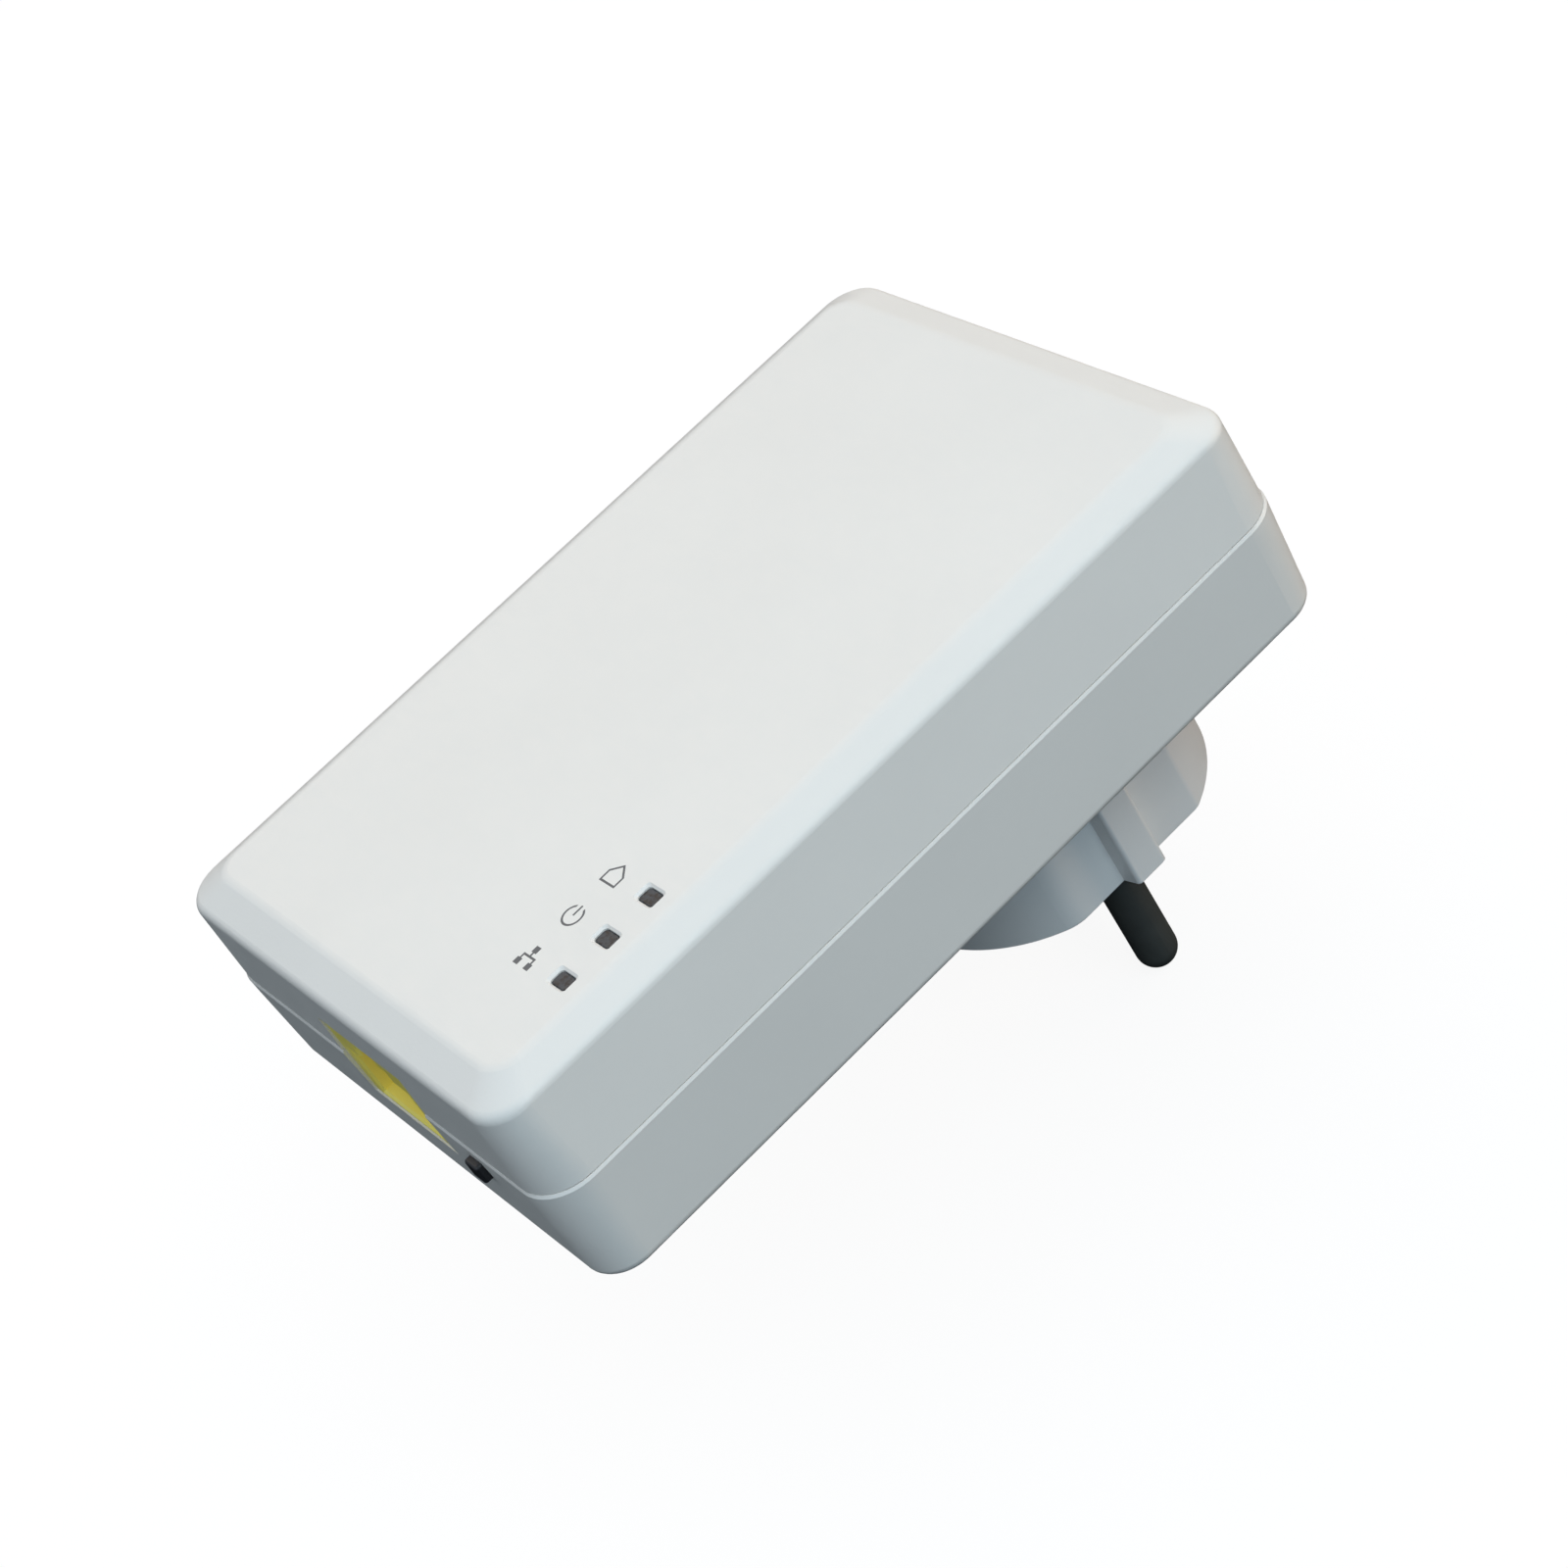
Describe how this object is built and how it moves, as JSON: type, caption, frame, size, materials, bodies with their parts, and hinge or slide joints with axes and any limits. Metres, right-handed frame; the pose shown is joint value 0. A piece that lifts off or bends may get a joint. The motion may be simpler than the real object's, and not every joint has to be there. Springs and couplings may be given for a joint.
{
  "type": "powerline adapter",
  "caption": "Powerline network adapter: a white box in two shells with a round mains plug on its back, a network socket and a push button on one end and status windows in front.",
  "frame": {"origin": "midway between the pins, on the end face of the plug", "axes": "+X across the width, +Y along the length away from the network socket, +Z out of the front face; the pins point to -Z"},
  "size_m": [0.0656, 0.1002, 0.0666],
  "materials": {
    "cover_plastic": "fine-grained matte warm white",
    "plug_plastic": "matte off-white",
    "pin_metal": "dark nickel plate",
    "screw_steel": "zinc-plated",
    "label_film": "satin film, blank",
    "jack_plastic": "semi-gloss yellow",
    "contact_gold": "gold flash",
    "button_plastic": "satin black",
    "lens_smoke": "smoked clear",
    "led_clear": "clear epoxy",
    "print_ink": "pad-printed grey",
    "board_laminate": "solder mask green",
    "package_black": "moulded epoxy",
    "can_metal": "bare",
    "ferrite": "sintered",
    "copper_wire": "enamelled",
    "tape_yellow": "polyester tape",
    "box_grey": "moulded box",
    "disc_blue": "epoxy dipped",
    "tube_ceramic": "glazed ceramic",
    "film_clear": "polyester film"
  },
  "bodies": {
    "housing": {"bridge_rectifier": "package_black", "bulk_capacitor": "package_black", "button_switch": "package_black", "case_screws": "screw_steel", "choke_core": "ferrite", "choke_windings": "copper_wire", "coupling_core": "ferrite", "coupling_winding": "tape_yellow", "crystal": "can_metal", "ethernet_chip": "package_black", "ethernet_contacts": "contact_gold", "ethernet_jack": "jack_plastic", "ethernet_transformer": "package_black", "filter_capacitor": "package_black", "front_cover": "cover_plastic", "fuse_caps": "can_metal", "fuse_tube": "tube_ceramic", "heat_sink": "can_metal", "insulation_film": "film_clear", "led_line": "led_clear", "led_network": "led_clear", "led_power": "led_clear", "light_pipe_line": "lens_smoke", "light_pipe_network": "lens_smoke", "light_pipe_power": "lens_smoke", "line_modem_chip": "package_black", "link_carrier": "package_black", "link_pins": "contact_gold", "main_board": "board_laminate", "mains_capacitor": "box_grey", "memory_chip": "package_black", "optocoupler": "package_black", "output_capacitor": "package_black", "plug_body": "plug_plastic", "plug_pin_left": "pin_metal", "plug_pin_right": "pin_metal", "power_board": "board_laminate", "rear_cover": "cover_plastic", "rear_label": "label_film", "status_icons": "print_ink", "supply_chip": "package_black", "surge_varistor": "disc_blue", "transformer_bobbin": "package_black", "transformer_core": "ferrite", "transformer_winding": "tape_yellow"},
    "button": {"pairing_button": "button_plastic", "switch_plunger": "button_plastic"}
  },
  "joints": [
    {"name": "button_press", "type": "slide", "parent": "housing", "child": "button", "axis": [0, 1, 0], "range_m": [0, 0.0005], "stiffness_N_per_m": 2500, "springref_m": -0.0002}
  ]
}
